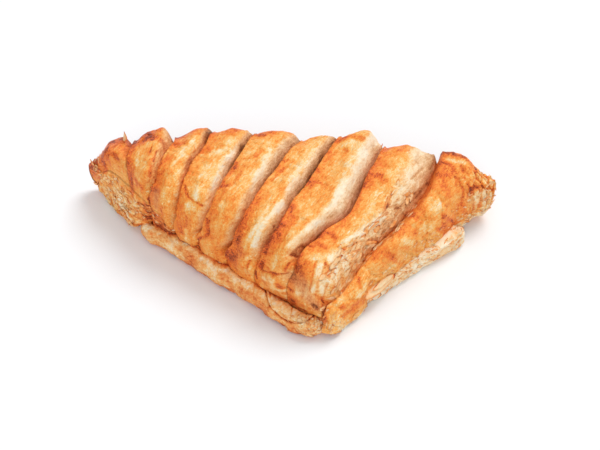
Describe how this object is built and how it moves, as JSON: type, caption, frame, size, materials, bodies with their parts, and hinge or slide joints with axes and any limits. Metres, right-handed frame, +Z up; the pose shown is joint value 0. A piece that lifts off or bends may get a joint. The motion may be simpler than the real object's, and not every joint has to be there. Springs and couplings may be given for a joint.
{
  "type": "turnover pastry",
  "caption": "Baked puff-pastry turnover: a long triangle folded along the back, its raised top slashed into slanting slats over a flat layered bottom sheet.",
  "frame": {"origin": "middle of the pastry's box on the surface that it rests on", "axes": "+X along the fold towards the wide uncut end, +Y from the pointed front to the fold, +Z up"},
  "size_m": [0.17, 0.0894, 0.0368],
  "materials": {
    "crust": "baked crust with an egg-wash sheen, golden to red-brown, paler in the cuts",
    "layers": "dry pale flaky layers"
  },
  "bodies": {
    "root": {"turnover": "crust"}
  },
  "joints": []
}
